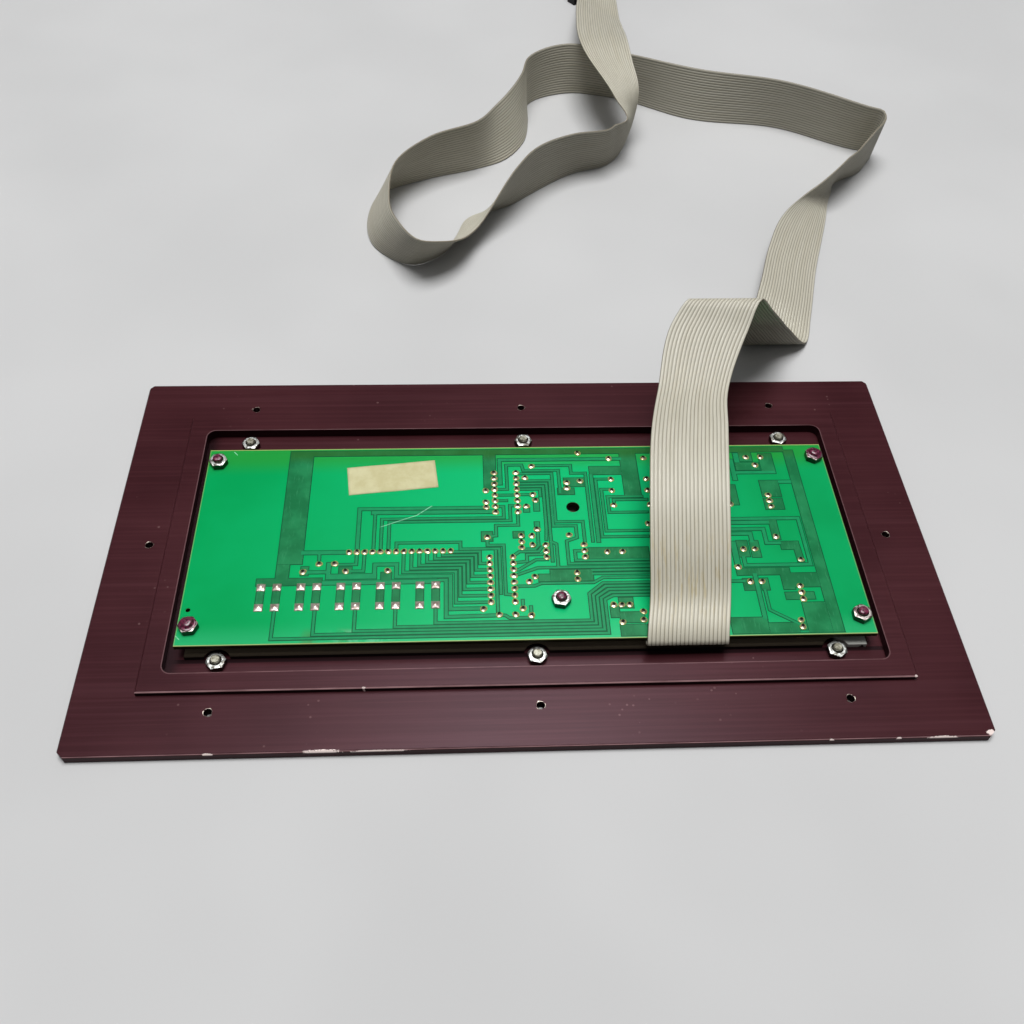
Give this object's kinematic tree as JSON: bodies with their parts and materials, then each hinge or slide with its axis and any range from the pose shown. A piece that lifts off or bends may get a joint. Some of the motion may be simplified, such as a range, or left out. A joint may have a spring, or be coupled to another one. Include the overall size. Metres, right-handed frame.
{
  "type": "front display panel",
  "caption": "Machined bezel plate with a pocketed back that carries a circuit board, a character display, push keys and a flat cable with an end socket.",
  "frame": {"origin": "middle of the panel's front face, which lies on the table; the flat cable is not counted", "axes": "+X along the panel's long side, +Y from the board's cable edge to its far edge, +Z out of the panel's back"},
  "size_m": [0.32, 0.4999, 0.0484],
  "materials": {
    "bezel": "dark red anodised, satin",
    "steel": "zinc plated",
    "spacer": "plain",
    "smoked_sheet": "smoked, polished",
    "board": "green solder mask over glass fibre laminate",
    "solder": "tinned",
    "label": "paper",
    "display_metal": "black",
    "display_glass": "polished",
    "contact_rubber": "soft",
    "display_board": "dark green solder mask",
    "chip_plastic": "moulded",
    "pins": "plated",
    "key_black": "moulded",
    "key_cap": "moulded",
    "resistor": "lacquered",
    "capacitor": "dipped",
    "trimmer": "moulded",
    "connector": "moulded",
    "cable": "grey flexible insulation"
  },
  "bodies": {
    "panel": {"bezel_plate": "bezel", "front_screws": "steel", "floor_nuts": "steel", "window_sheet": "smoked_sheet", "board_screws": "steel", "board_spacers": "spacer", "board_nuts": "steel", "main_board": "board", "solder_joints": "solder", "key_pads": "solder", "label": "label", "display_frame": "display_metal", "display_glass": "display_glass", "contact_strips": "contact_rubber", "display_board": "display_board", "display_chips": "chip_plastic", "display_header": "pins", "driver_chips": "chip_plastic", "chip_legs": "steel", "key_housings": "key_black", "resistors": "resistor", "capacitors": "capacitor", "transistors": "chip_plastic", "trimmer": "trimmer", "board_plug": "connector", "board_plug_cap": "connector", "flat_cable": "cable", "end_socket": "connector", "end_socket_cap": "connector"},
    "cap_1": {"key_1": "key_cap"},
    "cap_2": {"key_2": "key_cap"},
    "cap_3": {"key_3": "key_cap"},
    "cap_4": {"key_4": "key_cap"},
    "cap_5": {"key_5": "key_cap"}
  },
  "joints": [
    {"name": "press_1", "type": "slide", "parent": "panel", "child": "cap_1", "axis": [0, 0, 1], "range_m": [0, 0.0004], "stiffness_N_per_m": 200},
    {"name": "press_2", "type": "slide", "parent": "panel", "child": "cap_2", "axis": [0, 0, 1], "range_m": [0, 0.0004], "stiffness_N_per_m": 200},
    {"name": "press_3", "type": "slide", "parent": "panel", "child": "cap_3", "axis": [0, 0, 1], "range_m": [0, 0.0004], "stiffness_N_per_m": 200},
    {"name": "press_4", "type": "slide", "parent": "panel", "child": "cap_4", "axis": [0, 0, 1], "range_m": [0, 0.0004], "stiffness_N_per_m": 200},
    {"name": "press_5", "type": "slide", "parent": "panel", "child": "cap_5", "axis": [0, 0, 1], "range_m": [0, 0.0004], "stiffness_N_per_m": 200}
  ]
}
